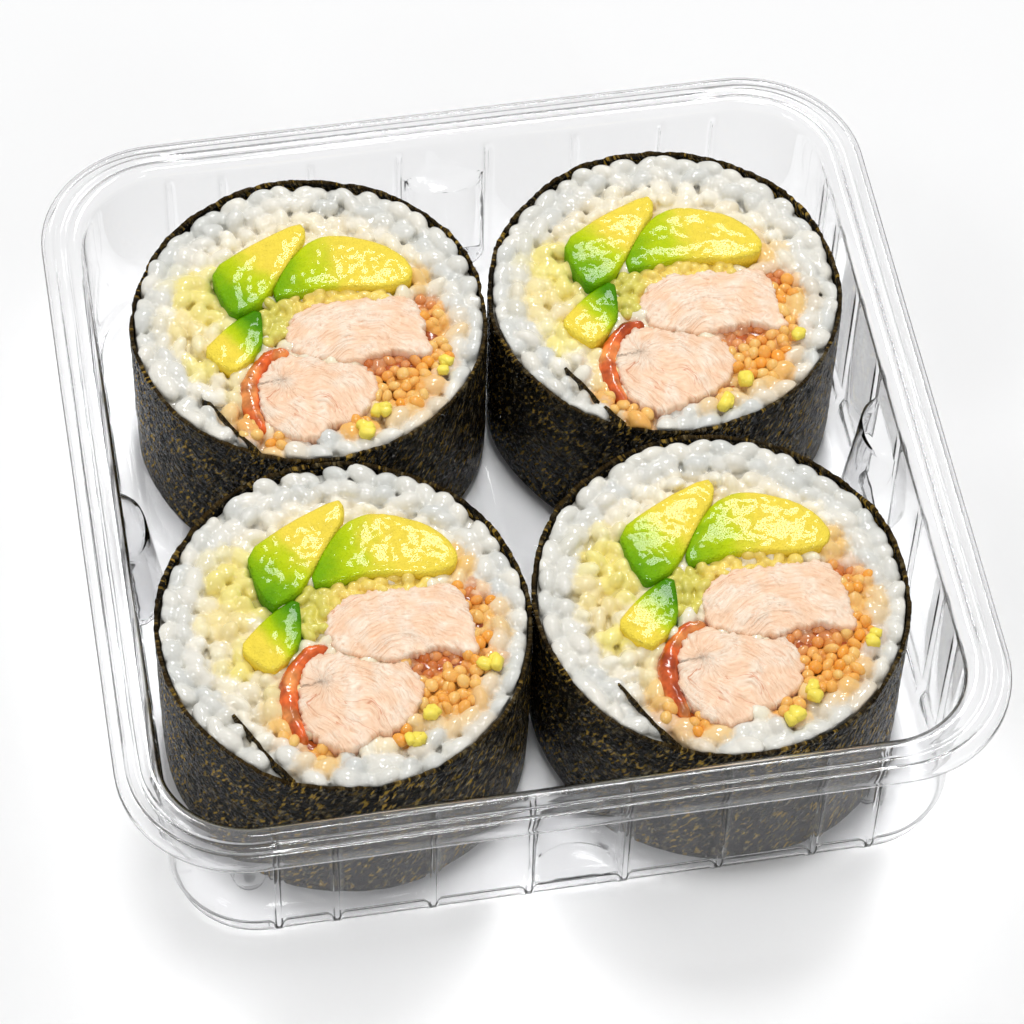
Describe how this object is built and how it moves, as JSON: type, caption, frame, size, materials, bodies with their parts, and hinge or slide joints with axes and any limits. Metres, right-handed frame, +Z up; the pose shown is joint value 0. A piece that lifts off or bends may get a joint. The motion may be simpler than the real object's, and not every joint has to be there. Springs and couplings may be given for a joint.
{
  "type": "takeaway sushi tray",
  "caption": "Clear square takeaway tray with a rolled rim and ribbed walls, holding thick upright sushi roll slices filled with rice, avocado and chicken.",
  "frame": {"origin": "centre of the box round the tray, on the plane that the tray rests on", "axes": "+X to the right and +Z up as the picture shows the tray, +Y towards its back"},
  "size_m": [0.125, 0.129, 0.032],
  "materials": {
    "tray": "clear and glossy",
    "nori": "dry pressed seaweed with a dull shine",
    "rice": "moist and translucent",
    "avocado": "smooth and moist",
    "mash": "moist and grainy",
    "chicken": "fibrous and slightly moist",
    "red_strip": "wet and glossy"
  },
  "bodies": {
    "root": {"tray": "tray", "nori_back_left": "nori", "rice_back_left": "rice", "avocado_a_back_left": "avocado", "avocado_b_back_left": "avocado", "avocado_c_back_left": "avocado", "mash_back_left": "mash", "chicken_a_back_left": "chicken", "chicken_b_back_left": "chicken", "red_strip_back_left": "red_strip", "nori_back_right": "nori", "rice_back_right": "rice", "avocado_a_back_right": "avocado", "avocado_b_back_right": "avocado", "avocado_c_back_right": "avocado", "mash_back_right": "mash", "chicken_a_back_right": "chicken", "chicken_b_back_right": "chicken", "red_strip_back_right": "red_strip", "nori_front_left": "nori", "rice_front_left": "rice", "avocado_a_front_left": "avocado", "avocado_b_front_left": "avocado", "avocado_c_front_left": "avocado", "mash_front_left": "mash", "chicken_a_front_left": "chicken", "chicken_b_front_left": "chicken", "red_strip_front_left": "red_strip", "nori_front_right": "nori", "rice_front_right": "rice", "avocado_a_front_right": "avocado", "avocado_b_front_right": "avocado", "avocado_c_front_right": "avocado", "mash_front_right": "mash", "chicken_a_front_right": "chicken", "chicken_b_front_right": "chicken", "red_strip_front_right": "red_strip"}
  },
  "joints": []
}
